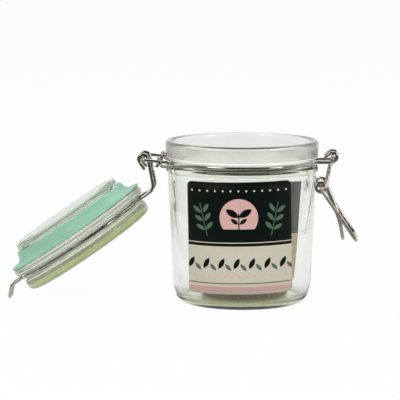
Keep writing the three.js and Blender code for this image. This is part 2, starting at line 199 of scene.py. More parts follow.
class Bench(Board):
    """Lays out a material around a Principled shader."""

    def __init__(self, name: str) -> None:
        """Starts a material.

        Args:
            name: The material's name.
        """
        self.material = bpy.data.materials.new(name)
        super().__init__(self.material)
        self.output = self.node("OutputMaterial")
        self.shader = self.node("BsdfPrincipled")
        self.join(self.shader.outputs["BSDF"], self.output.inputs["Surface"])
        self.places = self.node("TexCoord").outputs["Object"]

    def set(self, **sockets: object) -> None:
        """Sets the shader's own sockets, named with underscores for spaces."""
        for name, value in sockets.items():
            self.shader.inputs[name.replace("_", " ")].default_value = value

    def noise(self, grain: Grain) -> NodeSocket:
        """Adds a noise pattern on Object coordinates.

        Args:
            grain: The pattern.

        Returns:
            The pattern's socket, from 0 to 1.
        """
        mapping = self.node("Mapping")
        mapping.inputs["Scale"].default_value = grain.stretch
        self.join(self.places, mapping.inputs["Vector"])
        made = self.node("TexNoise")
        made.inputs["Scale"].default_value = grain.scale
        made.inputs["Detail"].default_value = grain.detail
        self.join(mapping.outputs["Vector"], made.inputs["Vector"])
        return self.spread(made.outputs["Fac"], grain.low, grain.high)

    def attribute(self, name: str) -> NodeSocket:
        """Returns the socket of one of the mesh's own numbers."""
        return self.node("Attribute", attribute_name=name).outputs["Fac"]

    def mix(self, share: NodeSocket, first: Tint | NodeSocket, second: Tint | NodeSocket) -> NodeSocket:
        """Mixes two colours.

        Args:
            share: How much of the second there is, from 0 to 1.
            first: A colour or its socket.
            second: A colour or its socket.

        Returns:
            The mixed colour's socket.
        """
        made = self.node("Mix", data_type="RGBA")
        self.join(share, made.inputs["Factor"])
        targets = (socket for socket in made.inputs if socket.type == "RGBA")
        for colour, target in zip((first, second), targets):
            self.join(colour.linear() if isinstance(colour, Tint) else colour, target)
        return next(socket for socket in made.outputs if socket.type == "RGBA")

    def paint(self, colour: NodeSocket) -> None:
        """Gives the shader its colour."""
        self.join(colour, self.shader.inputs["Base Color"])

    def dull(self, share: NodeSocket, limits: Point) -> None:
        """Gives the shader its roughness.

        Args:
            share: The socket of a share from 0 to 1.
            limits: The roughness at 0 and at 1.
        """
        low, high = limits
        level = self.spread(share, 0, 1, low, high) if high > low else low
        self.join(level, self.shader.inputs["Roughness"])

    def emboss(self, grain: Grain, depth: float) -> None:
        """Roughens the surface's normals.

        Args:
            grain: The relief's pattern.
            depth: What a height of 1 stands for, in millimetres.
        """
        made = self.node("Bump")
        made.inputs["Strength"].default_value = 1.0
        made.inputs["Distance"].default_value = depth * MM
        self.join(self.noise(grain), made.inputs["Height"])
        self.join(made.outputs["Normal"], self.shader.inputs["Normal"])


class Ink(Enum):
    """Inks of the label's print, and how two of them look from behind."""

    DARK = Tint(3, 17, 10)
    CREAM = Tint(210, 203, 185)
    PINK = Tint(216, 176, 168)
    SAGE = Tint(84, 112, 90)
    DARK_BEHIND = Tint(104, 106, 100)
    CREAM_BEHIND = Tint(196, 192, 180)


class Shape(Enum):
    """Shapes of a motif: a leaf that is as wide as it is long is a disc."""

    BAR = "bar"
    LEAF = "leaf"


@dataclass(frozen=True)
class Motif:
    """One printed shape, in millimetres from the middle of the label's lower edge, and degrees.

    A pitch above 0 repeats it along the label, and a twin is printed on both sides of the middle.
    """

    shape: Shape
    ink: Ink
    middle: Point
    half: Point
    turn: float = 0.0
    pitch: float = 0.0
    twin: bool = False


class Sketch:
    """Prints motifs over each other on a label's UV map."""

    def __init__(self, bench: Bench, ground: Ink, soft: float = 0.12) -> None:
        """Starts with a plain ground.

        Args:
            bench: The material's bench.
            ground: The ground's ink.
            soft: The width of a printed edge, in millimetres.
        """
        self.bench = bench
        self.soft = soft
        self.colour: Tint | NodeSocket = ground.value
        places = bench.node("Mapping")
        places.inputs["Location"].default_value = (-PRINT_SPAN / 2, 0, 0)
        places.inputs["Scale"].default_value = (PRINT_SPAN, PRINT_SPAN, 1)
        bench.join(bench.node("TexCoord").outputs["UV"], places.inputs["Vector"])
        parts = bench.axes(places.outputs["Vector"])
        self.across, self.up = parts["X"], parts["Y"]

    def local(self, motif: Motif) -> tuple[NodeSocket, NodeSocket]:
        """Moves to a motif's own axes.

        Args:
            motif: The motif.

        Returns:
            The sockets of the place along and across it.
        """
        run = self.bench.math
        across = run("ABSOLUTE", self.across) if motif.twin else self.across
        if motif.pitch:
            across = run("WRAP", across, motif.pitch / 2, -motif.pitch / 2)
        x, y = run("SUBTRACT", across, motif.middle[0]), run("SUBTRACT", self.up, motif.middle[1])
        cos, sin = math.cos(math.radians(motif.turn)), math.sin(math.radians(motif.turn))
        along = run("ADD", run("MULTIPLY", x, cos), run("MULTIPLY", y, sin))
        return along, run("SUBTRACT", run("MULTIPLY", y, cos), run("MULTIPLY", x, sin))

    def distance(self, motif: Motif) -> NodeSocket:
        """Measures the way to a motif's edge.

        Args:
            motif: The motif.

        Returns:
            The socket of the distance in millimetres, below 0 inside.
        """
        run = self.bench.math
        along, side = self.local(motif)
        length, width = motif.half
        if motif.shape is Shape.BAR:
            pairs = ((along, length), (side, width))
            return run("MAXIMUM", *(run("SUBTRACT", run("ABSOLUTE", place), half) for place, half in pairs))
        radius = (length**2 + width**2) / (2 * width)
        away = run("ADD", run("ABSOLUTE", side), radius - width)
        squares = run("MULTIPLY_ADD", away, away, run("MULTIPLY", along, along))
        return run("SUBTRACT", run("SQRT", squares), radius)

    def draw(self, *motifs: Motif) -> None:
        """Prints over what is there.

        Args:
            motifs: What is printed, in order.
        """
        for motif in motifs:
            mask = self.bench.math("MULTIPLY_ADD", self.distance(motif), -1 / self.soft, 0.5, clamp=True)
            self.colour = self.bench.mix(mask, self.colour, motif.ink.value)


@dataclass(frozen=True)
class GlassFinish:
    """Pressed glass, tinted by the light's way through it, greener where thick and duller where pressed."""

    name: str
    clear: Tint = Tint(212, 221, 172)
    density: float = 18.0
    refraction: float = 1.52
    clarity: float = 1.0
    polish: float = 0.01
    frost: float = 0.2
    thin: Tint = Tint(255, 255, 255)
    thick: Tint = Tint(198, 210, 134)
    ripple: float = 0.05
    ripples: Grain = Grain(45, 1.0, stretch=(1, 1, 0.3))

    def material(self) -> Material:
        """Makes the glass.

        Returns:
            Its material.
        """
        bench = Bench(self.name)
        bench.set(IOR=self.refraction, Transmission_Weight=self.clarity)
        bench.paint(bench.mix(bench.attribute("thick"), self.thin, self.thick))
        bench.dull(bench.attribute("frost"), (self.polish, self.frost))
        bench.emboss(self.ripples, self.ripple)
        if self.density:
            depth = bench.node("VolumeAbsorption")
            depth.inputs["Color"].default_value = self.clear.linear()
            depth.inputs["Density"].default_value = self.density
            bench.join(depth.outputs["Volume"], bench.output.inputs["Volume"])
        return bench.material


@dataclass(frozen=True)
class Finish:
    """A mottled surface: two tints and their pattern, its roughness, and a relief in millimetres.

    The roughness follows the bloom, or the mottle where there is none. Other sockets are set as they are.
    """

    name: str
    first: Tint
    second: Tint
    mottle: Grain
    roughness: Point
    relief: Grain
    depth: float
    bloom: Grain | None = None
    sockets: Mapping[str, object] = field(default_factory=dict)

    def colour(self, bench: Bench, mottle: NodeSocket) -> NodeSocket:
        """Returns the colour's socket for that of the pattern."""
        return bench.mix(mottle, self.first, self.second)

    def material(self) -> Material:
        """Makes the surface.

        Returns:
            Its material.
        """
        bench = Bench(self.name)
        mottle = bench.noise(self.mottle)
        bench.set(**self.sockets)
        bench.paint(self.colour(bench, mottle))
        bench.dull(bench.noise(self.bloom) if self.bloom else mottle, self.roughness)
        bench.emboss(self.relief, self.depth)
        return bench.material


@dataclass(frozen=True)
class PaperFinish(Finish):
    """Paper with flecks, and with a printed band above a height in millimetres."""

    fleck: Tint = Tint(180, 158, 112)
    flecks: Grain = Grain(1100, 2.0, 0.68, 0.74)
    fleck_share: float = 0.8
    band: Tint = Tint(50, 52, 47)
    band_foot: float = 38.5

    def colour(self, bench: Bench, mottle: NodeSocket) -> NodeSocket:
        """Prints the band on the paper and strews the flecks.

        Args:
            bench: The paper's bench.
            mottle: The socket of the fibres' pattern.

        Returns:
            The colour's socket.
        """
        above = bench.math("GREATER_THAN", bench.axes(bench.places)["Z"], self.band_foot * MM)
        ground = bench.mix(above, super().colour(bench, mottle), self.band)
        flecks = bench.math("MULTIPLY", bench.noise(self.flecks), self.fleck_share)
        return bench.mix(flecks, ground, self.fleck)


@dataclass(frozen=True)
class FilmFinish:
    """Print and film of the label."""

    border: float = 27.4
    reach: float = 40.0
    line: float = 0.25
    gloss: float = 0.14
    fibre: Grain = Grain(700, 4.0, 0.3, 0.7)
    fibre_shade: Point = (0.98, 1.02)
    roughness: Point = (0.42, 0.56)
    tooth: Grain = Grain(700, 4.0)
    tooth_depth: float = 0.015
    sprig_foot: Point = (18.9, 36.5)
    sprig_step: Point = (1.0, 5.0)
    sprig_leaf: Point = (2.9, 1.1)
    sprig_leans: Triple = (30, 34, 40)
    sprig_right: Point = (2.8, 1.5)
    sprig_left: Point = (-2.2, 2.6)
    sprig_spread: float = 160.0

    def coat(self, bench: Bench, sketch: Sketch) -> Material:
        """Gives a print its paper grain and satin coat.

        Args:
            bench: The print's bench.
            sketch: The print.

        Returns:
            The finished material.
        """
        fibre = bench.noise(self.fibre)
        shade = bench.node("HueSaturation")
        bench.set(Specular_IOR_Level=self.gloss)
        bench.join(bench.spread(fibre, 0, 1, *self.fibre_shade), shade.inputs["Value"])
        bench.join(sketch.colour, shade.inputs["Color"])
        bench.paint(shade.outputs["Color"])
        bench.dull(fibre, self.roughness)
        bench.emboss(self.tooth, self.tooth_depth)
        return bench.material

    def upper(self, ink: Ink) -> Motif:
        """Returns the field above the border."""
        return Motif(Shape.BAR, ink, (0, self.border + self.reach), (self.reach, self.reach))

    def seedling(self) -> list[Motif]:
        """Lays out a seedling in front of a disc that the ground cuts off.

        Returns:
            Its motifs.
        """
        return [
            Motif(Shape.LEAF, Ink.PINK, middle=(0, 43.6), half=(10.8, 10.8)),
            Motif(Shape.BAR, Ink.DARK, middle=(0, 34.2), half=(12, 3)),
            Motif(Shape.BAR, Ink.DARK, middle=(0, 41), half=(0.35, 5)),
            Motif(Shape.LEAF, Ink.DARK, middle=(3.7, 46.2), half=(4.2, 1.9), turn=32, twin=True),
            Motif(Shape.LEAF, Ink.DARK, middle=(2.5, 41.6), half=(2.6, 1.1), turn=38, twin=True),
        ]

    def sprigs(self) -> list[Motif]:
        """Lays out a sprig on each side, with pairs of leaves up its stalk.

        Returns:
            Their motifs.
        """
        motifs = [Motif(Shape.BAR, Ink.SAGE, middle=(20, 42.5), half=(9.5, 0.22), turn=78, twin=True)]
        for step, lean in enumerate(self.sprig_leans):
            foot = Vector(self.sprig_foot) + step * Vector(self.sprig_step)
            for off, turn in ((self.sprig_right, lean), (self.sprig_left, self.sprig_spread - lean)):
                place = tuple(foot + Vector(off))
                motifs.append(Motif(Shape.LEAF, Ink.SAGE, place, self.sprig_leaf, turn, twin=True))
        return motifs

    def bands(self) -> list[Motif]:
        """Lays out the lower field: a row of leaves over dots, a line and a band.

        Returns:
            Its motifs.
        """
        return [
            Motif(Shape.LEAF, Ink.DARK, middle=(-1.6, 17.6), half=(3.4, 1.35), turn=62, pitch=8.6),
            Motif(Shape.LEAF, Ink.SAGE, middle=(2.2, 15.4), half=(2.6, 1.0), turn=-48, pitch=8.6),
            Motif(Shape.LEAF, Ink.PINK, middle=(0, 10.3), half=(0.5, 0.5), pitch=4.3),
            Motif(Shape.BAR, Ink.DARK, middle=(0, 6.2), half=(self.reach, 0.22)),
            Motif(Shape.BAR, Ink.PINK, middle=(0, 3), half=(self.reach, 1.3)),
        ]

    def front(self) -> Material:
        """Prints the label's front.

        Returns:
            Its material.
        """
        bench = Bench("front_print")
        sketch = Sketch(bench, Ink.CREAM)
        sketch.draw(
            self.upper(Ink.DARK),
            Motif(Shape.BAR, Ink.CREAM, middle=(0, 29.4), half=(self.reach, self.line)),
            Motif(Shape.LEAF, Ink.CREAM, middle=(0, 58.8), half=(0.55, 0.55), pitch=4.4),
        )
        sketch.draw(*self.seedling(), *self.sprigs(), *self.bands())
        return self.coat(bench, sketch)

    def reverse(self) -> Material:
        """Lets the print show through on the label's reverse.

        Returns:
            Its material.
        """
        bench = Bench("print_reverse")
        sketch = Sketch(bench, Ink.CREAM_BEHIND)
        sketch.draw(self.upper(Ink.DARK_BEHIND))
        return self.coat(bench, sketch)


JAR_GLASS = GlassFinish("jar_glass")
PLUG_GLASS = GlassFinish(
    "plug_glass", density=0.0, refraction=1.25, clarity=0.9, polish=0.02, ripple=0.0,
    thin=Tint(246, 250, 244),
)
CROWN_GLASS = replace(
    PLUG_GLASS, name="lid_glass", clarity=0.75, thin=Tint(246, 249, 238), thick=Tint(180, 194, 130)
)
RUBBER = Finish(
    "mint_rubber", Tint(134, 191, 161), Tint(164, 211, 187), mottle=Grain(28, 3.0, 0.35, 0.65),
    bloom=Grain(420, 3.0, 0.3, 0.7), roughness=(0.42, 0.6), relief=Grain(1500, 2.0), depth=0.02,
    sockets={"Subsurface_Weight": 0.25, "Subsurface_Radius": (0.6, 1.0, 0.8), "Subsurface_Scale": 1.5 * MM},
)
STEEL = Finish(
    "bright_wire", Tint(186, 182, 174), Tint(150, 145, 136), mottle=Grain(160, 4.0, 0.42, 0.66),
    roughness=(0.06, 0.16), relief=Grain(700, 2.0), depth=0.002, sockets={"Metallic": 1.0},
)
PITH = Finish(
    "coir_pith", Tint(112, 94, 70), Tint(150, 131, 102), mottle=Grain(520, 6.0, 0.36, 0.64),
    roughness=(0.95, 0.95), relief=Grain(900, 6.0), depth=0.35,
)
STRANDS = Finish(
    "coir_strands", Tint(150, 131, 102), Tint(178, 158, 127), mottle=Grain(140, 2.0, 0.35, 0.65),
    roughness=(0.8, 0.8), relief=Grain(1400, 2.0), depth=0.03,
)
KRAFT = PaperFinish(
    "kraft_paper", Tint(232, 213, 163), Tint(244, 228, 184), roughness=(0.78, 0.92),
    mottle=Grain(420, 5.0, 0.35, 0.65, stretch=(0.35, 1, 1)), relief=Grain(640, 5.0), depth=0.08,
)


class Profile:
    """A half section that is drawn in millimetres as (radius, height) and turned about the Z axis."""

    def __init__(self, radius: float, height: float) -> None:
        """Starts the section at a point."""
        self.points = [Vector((radius, 0.0, height)) * MM]

    def through(self, handles: Sequence[Point], steps: int) -> "Profile":
        """Adds a curve from the last point.

        Args:
            handles: The curve's handles and its end.
            steps: How many points are added.

        Returns:
            The profile itself.
        """
        start = self.points[-1] / MM
        for step in range(steps):
            places = [start, *(Vector((radius, 0.0, height)) for radius, height in handles)]
            while len(places) > 1:
                places = [a.lerp(b, (step + 1) / steps) for a, b in zip(places, places[1:])]
            self.points.append(places[0] * MM)
        return self

    def line(self, radius: float, height: float, steps: int = 1) -> "Profile":
        """Adds a straight run to a point, in steps, and returns the profile."""
        return self.through([(radius, height)], steps)

    def bend(self, *points: Point, steps: int = CURVE_STEPS) -> "Profile":
        """Adds curves that round corners.

        Args:
            points: Pairs of a corner and the curve's end.
            steps: How many points each curve adds.

        Returns:
            The profile itself.
        """
        for pair in zip(points[::2], points[1::2]):
            self.through(pair, steps)
        return self

    def sweep(self, first: Point, second: Point, end: Point, steps: int = 2 * CURVE_STEPS) -> "Profile":
        """Adds a curve with two handles, and returns the profile."""
        return self.through([first, second, end], steps)

    def spin(self, segments: int) -> BMesh:
        """Turns the section into a closed shape.

        Args:
            segments: Steps of the full turn.

        Returns:
            The turned mesh.
        """
        mesh = bmesh.new()
        corners = [mesh.verts.new(point) for point in self.points]
        for before, after in zip(corners, corners[1:]):
            mesh.edges.new((before, after))
        bmesh.ops.spin(
            mesh, geom=mesh.verts[:] + mesh.edges[:], cent=(0, 0, 0), axis=(0, 0, 1), angle=2 * math.pi,
            steps=segments, use_merge=True,
        )
        bmesh.ops.remove_doubles(mesh, verts=mesh.verts, dist=WELD)
        bmesh.ops.dissolve_degenerate(mesh, edges=mesh.edges, dist=SPECK)
        bmesh.ops.recalc_face_normals(mesh, faces=mesh.faces)
        return mesh


def mark(mesh: BMesh, name: str, amount: Callable[[float, float], float]) -> None:
    """Writes a number on each corner of a turned mesh.

    Args:
        mesh: The mesh, about the Z axis.
        name: The number's name, for materials.
        amount: Gives the number for a radius and a height in millimetres.
    """
    layer = mesh.verts.layers.float.new(name)
    for vert in mesh.verts:
        vert[layer] = amount(math.hypot(vert.co.x, vert.co.y) / MM, vert.co.z / MM)


def fade(value: float, start: float, end: float) -> float:
    """Returns a smooth step from 0 at the start to 1 at the end."""
    share = min(1.0, max(0.0, (value - start) / (end - start)))
    return share * share * (3 - 2 * share)


def soften(mesh: BMesh, crease: float = 35.0) -> None:
    """Shades a mesh smooth.

    Args:
        mesh: The mesh, which is changed.
        crease: How far an edge may turn before it stays sharp, in degrees.
    """
    for face in mesh.faces:
        face.smooth = True
    for edge in mesh.edges:
        edge.smooth = edge.calc_face_angle(0.0) < math.radians(crease)


def add_object(name: str, data: ID) -> Object:
    """Adds an object to the scene.

    Args:
        name: Its name.
        data: Its mesh, light or camera.

    Returns:
        The object.
    """
    made = bpy.data.objects.new(name, data)
    bpy.context.scene.collection.objects.link(made)
    return made


def add_mesh(mesh: BMesh, name: str, materials: Sequence[Material]) -> Object:
    """Adds a mesh to the scene.

    Args:
        mesh: The mesh, which is freed.
        name: The object's name.
        materials: Its materials, in slot order.

    Returns:
        The object.
    """
    data = bpy.data.meshes.new(name)
    mesh.to_mesh(data)
    mesh.free()
    for material in materials:
        data.materials.append(material)
    return add_object(name, data)


def place_piece(mesh: BMesh, name: str, materials: Sequence[Material], body: Body, node: str) -> Object:
    """Makes a finished piece of a mesh, on its body and in place of its CAD node.

    Args:
        mesh: The mesh, which is freed.
        name: The piece's name.
        materials: Its materials, in slot order.
        body: The body that it rides on.
        node: The CAD node that it stands for.

    Returns:
        The piece.
    """
    piece = add_mesh(mesh, name, materials)
    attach(piece, body.value)
    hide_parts(node)
    LOG.info("%s rides on %s for %s, %d faces", name, body.value, node, len(piece.data.polygons))
    return piece


@dataclass
class GlassJar:
    """The pressed jar, in millimetres: foot, heel, tapered wall, bead, wire groove, collar and lip.

    The heel's two handles are shares of its width and height. The foot's colour is full below a share of
    the floor's height, and the bead has a share of it.
    """

    height: float = 93.5
    rim_radius: float = 44.0
    rim_wall: float = 3.6
    collar: float = 9.6
    lip: float = 2.4
    groove_depth: float = 2.0
    groove_width: float = 4.6
    bead_height: float = 4.0
    bead_colour: float = 0.35
    shoulder_inset: float = 1.15
    wall_taper: float = 3.0
    heel_height: float = 11.4
    heel_inset: float = 6.85
    foot_width: float = 6.0
    foot_tinted: float = 1 / 3
    push_up: float = 0.8
    push_up_slope: float = 3.0
    wall: float = 3.4
    floor: float = 2.4
    floor_inset: float = 2.0
    heel_foot: Point = (0.5, 0.03)
    heel_wall: Point = (0.84, 0.38)
    tick_count: int = 240
    tick_depth: float = 0.25
    tick_height: float = 4.0
    tick_span: float = 1.1
    wave: float = 0.12
    waves_around: float = 3.0
    waves_up: float = 0.03

    @property
    def collar_z(self) -> float:
        """Height of the collar's lower edge."""
        return self.height - self.collar

    @property
    def groove_z(self) -> float:
        """Height of the wire groove's middle."""
        return self.collar_z - self.groove_width / 2

    @property
    def shoulder_z(self) -> float:
        """Height where the wall meets the bead."""
        return self.groove_z - self.groove_width / 2 - self.bead_height

    @property
    def shoulder_radius(self) -> float:
        """Radius of the wall below the bead."""
        return self.rim_radius - self.shoulder_inset

    @property
    def heel_radius(self) -> float:
        """Radius of the wall above the heel."""
        return self.shoulder_radius - self.wall_taper

    @property
    def floor_z(self) -> float:
        """Height of the floor inside."""
        return self.push_up + self.floor

    def wall_radius(self, height: float) -> float:
        """Returns the wall's outer radius at a height."""
        share = (height - self.heel_height) / (self.shoulder_z - self.heel_height)
        return self.heel_radius + self.wall_taper * share

    def heel_handles(self, low: Point, high: Point) -> list[Point]:
        """Places the two handles of the heel's curve.

        Args:
            low: The curve's low end.
            high: Its high end.

        Returns:
            The handles, from low to high.
        """
        return [
            (low[0] + (high[0] - low[0]) * share[0], low[1] + (high[1] - low[1]) * share[1])
            for share in (self.heel_foot, self.heel_wall)
        ]

    def profile(self) -> Profile:
        """Draws the jar's half section.

        Returns:
            The section.
        """
        rim, top, collar_z = self.rim_radius, self.height, self.collar_z
        foot = self.heel_radius - self.heel_inset
        groove, mouth = rim - self.groove_depth, rim - self.rim_wall
        flank = (rim + groove) / 2
        bead_z = self.groove_z - self.groove_width / 2
        inner = self.heel_radius - self.wall
        heel = (self.heel_radius, self.heel_height)
        path = Profile(0, self.push_up)
        path.line(foot - self.foot_width - self.push_up_slope, self.push_up, steps=6)
        path.line(foot - self.foot_width, 0).line(foot, 0)
        path.sweep(*self.heel_handles((foot, 0), heel), heel)
        path.line(self.shoulder_radius, self.shoulder_z, steps=12)
        path.bend(
            (rim, self.shoulder_z), (rim, self.shoulder_z + self.bead_height / 2),
            (rim, bead_z), (flank, bead_z), (groove, bead_z), (groove, self.groove_z),
            (groove, collar_z), (flank, collar_z), (rim, collar_z), (rim, collar_z + self.lip / 2),
        )
        path.line(rim, top - self.lip, steps=2)
        path.bend((rim, top), ((rim + mouth) / 2, top), (mouth, top), (mouth, top - self.lip), steps=8)
        path.line(self.shoulder_radius - self.wall, self.shoulder_z, steps=8)
        path.line(inner, self.heel_height, steps=16)
        corner = (foot - self.floor_inset, self.floor_z)
        low, high = self.heel_handles(corner, (inner, self.heel_height))
        return path.sweep(high, low, corner).line(0, self.floor_z, steps=6)

    def press(self, mesh: BMesh) -> None:
        """Presses the fine ticks into the heel and gives the inner wall its slight waves.

        Args:
            mesh: The mesh, which is changed.
        """
        for vert in mesh.verts:
            radius, height = math.hypot(vert.co.x, vert.co.y) / MM, vert.co.z / MM
            around = math.atan2(vert.co.y, vert.co.x)
            shift = 0.0
            off = (height - self.tick_height) / self.tick_span
            if abs(off) < 1 and radius > self.heel_radius - self.heel_inset / 2:
                tick = round(around / math.pi * self.tick_count)
                shift = self.tick_depth * (1 - off * off) * (1 if tick % 2 else -1)
            elif self.heel_height < height < self.groove_z:
                if radius < self.wall_radius(height) - self.wall / 2:
                    x, y = self.waves_around * math.cos(around), self.waves_around * math.sin(around)
                    shift = self.wave * noise.noise(Vector((x, y, height * self.waves_up)))
            if shift:
                vert.co.xy *= (radius + shift) / radius

    def dulled(self, _radius: float, height: float) -> float:
        """Dulls the glass at the foot, and in the collar below the lip.

        Args:
            _radius: A place's radius, which has no part in it.
            height: Its height.

        Returns:
            How dull it is there, from 0 to 1.
        """
        foot = fade(height, self.tick_height + self.tick_span, self.floor_z)
        collar = fade(height, self.collar_z, self.collar_z + self.lip)
        return max(foot, collar * fade(height, self.height, self.height - self.lip))

    def deepened(self, radius: float, height: float) -> float:
        """Deepens the glass's colour at the foot, and less so on the bead.

        Args:
            radius: A place's radius.
            height: Its height.

        Returns:
            How deep it is there, from 0 to 1.
        """
        foot = fade(height, self.floor_z, self.floor_z * self.foot_tinted)
        bead_z = self.shoulder_z + self.bead_height / 2
        bead = fade(radius, self.shoulder_radius, self.rim_radius)
        return max(foot, self.bead_colour * bead * fade(abs(height - bead_z), self.bead_height, 0))

    def build(self, glass: Material) -> Object:
        """Makes the jar.

        Args:
            glass: Its glass.

        Returns:
            The jar's piece.
        """
        mesh = self.profile().spin(2 * self.tick_count)
        self.press(mesh)
        mark(mesh, "thick", self.deepened)
        mark(mesh, "frost", self.dulled)
        soften(mesh)
        return place_piece(mesh, "jar_glass", [glass], Body.JAR, "jar_body")


@dataclass
class HingedLid:
    """The glass lid and its rubber ring, in millimetres, drawn closed and swung open on the hinge's bar.

    The tint's width and height are multiples of the crown's rounding, and the ring's swell is a multiple
    of its wall.
    """

    jar: GlassJar
    flange_ledge: float = 9.5
    plug_depth: float = 12.0
    plug_wall: float = 3.9
    dish_depth: float = 10.2
    flange: float = 4.6
    groove_depth: float = 4.4
    groove_width: float = 3.7
    crown_inset: float = 2.2
    height: float = 15.8
    crown_round: float = 4.4
    tint_width: float = 2.0
    tint_height: float = 1.5
    ring_lip: float = 0.85
    ring_depth: float = 7.2
    ring_wall: float = 1.2
    ring_round: float = 0.3
    ring_swell: float = 1.05
    ring_flare: float = 4.8
    ring_roll: float = 6.0
    gap: float = 0.3
    seat_gap: float = 1.6
    hinge_reach: float = 12.5
    hinge_rise: float = 1.6
    nose_reach: float = 10.8
    nose_rise: float = 5.2
    wire_radius: float = 0.95
    segments: int = 320

    def swing(self) -> Matrix:
        """Swings the closed lid, drawn from its flange, to where its nose rests.

        Returns:
            The matrix that moves it.
        """
        seat = self.jar.height + self.seat_gap
        hinge = Vector((-self.jar.rim_radius - self.hinge_reach, 0, self.jar.groove_z + self.hinge_rise))
        reach = self.jar.rim_radius + self.nose_reach - hinge.x
        rise = seat + self.flange + self.groove_width / 2 + self.nose_rise - hinge.z
        drop = hinge.z - self.wire_radius
        turn = math.pi + math.asin(drop / math.hypot(reach, rise)) - math.atan2(rise, reach)
        home = Matrix.Translation(Vector((-hinge.x, 0, seat - hinge.z)) * MM)
        return Matrix.Translation(hinge * MM) @ Matrix.Rotation(-turn, 4, "Y") @ home

    def glass_profile(self) -> Profile:
        """Draws the lid's half section.

        Returns:
            The section.
        """
        flange = self.jar.rim_radius
        plug, groove = flange - self.flange_ledge, flange - self.groove_depth
        crown, top = flange - self.crown_inset, self.flange + self.groove_width
        dish, dish_z = plug - self.plug_wall, self.dish_depth - self.plug_depth
        lip, foot = self.plug_wall / 2, -self.plug_depth
        path = Profile(0, dish_z).line(dish / 2, dish_z, steps=6)
        path.bend((dish, dish_z), (dish, lip / 2 + foot), (dish, foot), (plug - lip, foot))
        path.bend((plug, foot), (plug, lip + foot)).line(plug, 0, steps=3)
        path.line(flange - self.flange / 4, 0, steps=3).bend(
            (flange, 0), (flange, self.flange / 2),
            (flange, self.flange), ((flange + groove) / 2, self.flange),
            (groove, self.flange), (groove, self.flange + self.groove_width / 2),
            (groove, top), ((crown + groove) / 2, top),
        )
        side, end = (crown, self.height - self.crown_round), (crown - self.crown_round, self.height)
        path.bend((crown, top), side, (crown, self.height), end, steps=16)
        return path.line(0, self.height, steps=8)

    def thick(self, radius: float, height: float) -> float:
        """Deepens the glass's colour round the crown's edge.

        Args:
            radius: A place's radius.
            height: Its height.

        Returns:
            How deep it is there, from 0 to 1.
        """
        crown, top = self.jar.rim_radius - self.crown_inset, self.height
        full = self.crown_round / 2
        edge = fade(radius, crown - self.tint_width * self.crown_round, crown - full)
        return edge * fade(height, top - self.tint_height * self.crown_round, top - full)

    def ring_profile(self) -> Profile:
        """Draws the rubber ring's section.

        Returns:
            The section, which is closed.
        """
        flange, edge, wall = self.jar.rim_radius, self.ring_round, self.ring_wall
        inner = flange - self.flange_ledge + self.gap
        back, lip, tip = -self.gap, -self.gap - self.ring_lip, -self.gap - self.ring_depth
        path = Profile(inner, back).line(inner, tip + edge, steps=6)
        path.bend((inner, tip), (inner + edge, tip), steps=4).line(inner + wall - edge, tip)
        path.bend((inner + wall, tip), (inner + wall * self.ring_swell, tip + edge), steps=4)
        root, roll = (inner + wall * 2, tip + self.ring_flare), (flange - self.ring_roll, lip)
        path.sweep(root, roll, (flange - edge, lip), steps=24)
        path.bend((flange, lip), (flange, lip + edge), steps=4).line(flange, back - edge)
        return path.bend((flange, back), (flange - edge, back), steps=4).line(inner, back, steps=3)

    def build(self, plug: Material, crown: Material, rubber: Material) -> list[Object]:
        """Makes the lid's pieces.

        Args:
            plug: The glass below the flange.
            crown: The glass of the flange and the crown.
            rubber: The ring's rubber.

        Returns:
            The glass and the ring.
        """
        pieces = []
        rows = (
            (self.glass_profile(), "lid_disc", [plug, crown], "lid_glass"),
            (self.ring_profile(), "rubber_ring", [rubber], "gasket"),
        )
        for profile, name, materials, node in rows:
            mesh = profile.spin(self.segments)
            soften(mesh)
            mark(mesh, "thick", self.thick)
            for face in mesh.faces:
                face.material_index = int(face.calc_center_median().z >= 0)
            bmesh.ops.transform(mesh, matrix=self.swing(), verts=mesh.verts)
            pieces.append(place_piece(mesh, name, materials, Body.LID, node))
        return pieces


@dataclass
class WireWork:
    """The bent wires, in millimetres and degrees: round ones in place of the frame's eight-sided ones."""

    diameter: float = 1.9
    sides: int = 8
    levels: int = 2
    weld: float = 0.002
    flat_turn: float = 30.0
    shape_turn: float = 120.0
    crease: float = 180.0

    def growth(self) -> float:
        """Returns how far the sides move out so that the rounded wire keeps its diameter."""
        shrink = (2 + math.cos(2 * math.pi / self.sides)) / 3
        return self.diameter / 2 * (1 / shrink - 1)

    def draw(self, node: Object, name: str, body: Body, steel: Material) -> Object:
        """Makes one wire.

        Args:
            node: The CAD node whose way the wire takes.
            name: The piece's name.
            body: The body that it rides on.
            steel: The wire's finish.

        Returns:
            The wire.
        """
        mesh = bmesh.new()
        mesh.from_mesh(node.data)
        bmesh.ops.remove_doubles(mesh, verts=mesh.verts, dist=self.weld * MM)
        flat, shape = math.radians(self.flat_turn), math.radians(self.shape_turn)
        bmesh.ops.join_triangles(
            mesh, faces=mesh.faces, angle_face_threshold=flat, angle_shape_threshold=shape
        )
        mesh.normal_update()
        for vert in mesh.verts:
            vert.co += vert.normal * self.growth() * MM
        soften(mesh, self.crease)
        wire = place_piece(mesh, name, [steel], body, node.name)
        rounding = wire.modifiers.new("round", "SUBSURF")
        rounding.levels = rounding.render_levels = self.levels
        return wire

    def build(self, nodes: dict[str, Object], steel: Material) -> list[Object]:
        """Makes all the wires.

        Args:
            nodes: The frame's CAD nodes by name.
            steel: The wires' finish.

        Returns:
            The wires.
        """
        rows = (
            ("neck_wire", "neck_ring", Body.JAR),
            ("hinge_stirrup", "hinge_bar", Body.JAR),
            ("lid_wire", "lid_ring", Body.LID),
            ("clasp_lever", "lever_wire", Body.LEVER),
            ("clasp_bail", "bail_wire", Body.BAIL),
        )
        return [self.draw(nodes[node], name, body, steel) for node, name, body in rows]


